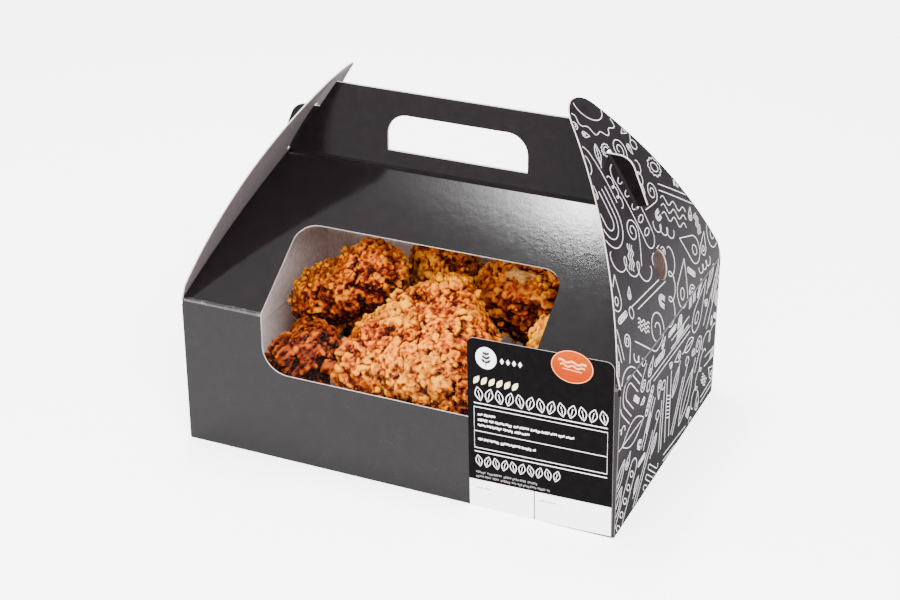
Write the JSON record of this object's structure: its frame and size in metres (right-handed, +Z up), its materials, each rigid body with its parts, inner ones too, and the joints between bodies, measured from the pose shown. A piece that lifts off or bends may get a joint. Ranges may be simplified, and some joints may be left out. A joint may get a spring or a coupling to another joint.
{
  "type": "takeaway food carton",
  "caption": "Gable-top paperboard carry carton with a film window, a hand hole, bowed end gables locked on the handle's ears, a product label, and fried chicken inside.",
  "frame": {"origin": "centre of the base, on the surface the carton stands on", "axes": "+X along the carton's length, -Y towards the window and the label, +Z up"},
  "size_m": [0.235, 0.1596, 0.1882],
  "materials": {
    "black_board": "satin",
    "printed_board": "satin",
    "inner_board": "matte",
    "window_film": "gloss",
    "label_card": "satin",
    "sticker": "gloss",
    "fried_crust": "satin"
  },
  "bodies": {
    "tray": {"front_wall": "black_board", "back_wall": "black_board", "end_wall_left": "printed_board", "end_wall_right": "printed_board", "glue_flap": "inner_board", "bottom_flap_front": "inner_board", "bottom_flap_back": "inner_board", "bottom_flap_left": "inner_board", "bottom_flap_right": "inner_board", "inner_tab_left": "inner_board", "inner_tab_right": "inner_board", "window_film_lower": "window_film", "product_label": "label_card", "oval_sticker": "sticker", "chicken_breast_1": "fried_crust", "chicken_breast_2": "fried_crust", "chicken_thigh_1": "fried_crust", "chicken_thigh_2": "fried_crust", "chicken_drumstick_1": "fried_crust", "chicken_drumstick_2": "fried_crust", "chicken_wing_1": "fried_crust", "chicken_wing_2": "fried_crust"},
    "roof_front": {"roof_front": "black_board", "window_film_upper": "window_film"},
    "handle_front": {"handle_front": "black_board"},
    "roof_back": {"roof_back": "black_board"},
    "handle_back": {"handle_back": "black_board"},
    "gable_left": {"gable_left": "printed_board"},
    "gable_right": {"gable_right": "printed_board"}
  },
  "joints": [
    {"name": "gable_right_fold", "type": "hinge", "parent": "tray", "child": "gable_right", "pos_m": [0.1175, 0, 0.0815], "axis": [0, 1, 0], "range_deg": [0, 150]},
    {"name": "gable_left_fold", "type": "hinge", "parent": "tray", "child": "gable_left", "pos_m": [-0.1175, 0, 0.0815], "axis": [0, -1, 0], "range_deg": [0, 150]},
    {"name": "roof_front_fold", "type": "hinge", "parent": "tray", "child": "roof_front", "pos_m": [0, -0.0795, 0.0815], "axis": [1, 0, 0], "range_deg": [0, 40]},
    {"name": "handle_front_fold", "type": "hinge", "parent": "roof_front", "child": "handle_front", "pos_m": [0, -0.00075, 0.1365], "axis": [-1, 0, 0], "range_deg": [0, 40]},
    {"name": "roof_back_fold", "type": "hinge", "parent": "tray", "child": "roof_back", "pos_m": [0, 0.0795, 0.0815], "axis": [-1, 0, 0], "range_deg": [0, 40]},
    {"name": "handle_back_fold", "type": "hinge", "parent": "roof_back", "child": "handle_back", "pos_m": [0, 0.00075, 0.1365], "axis": [1, 0, 0], "range_deg": [0, 40]}
  ],
  "couplings": [
    {"joint": "gable_left_fold", "follows": "gable_right_fold", "ratio": 1},
    {"joint": "roof_front_fold", "follows": "gable_right_fold", "ratio": 0.26666},
    {"joint": "handle_front_fold", "follows": "gable_right_fold", "ratio": 0.26666},
    {"joint": "roof_back_fold", "follows": "gable_right_fold", "ratio": 0.26666},
    {"joint": "handle_back_fold", "follows": "gable_right_fold", "ratio": 0.26666}
  ]
}
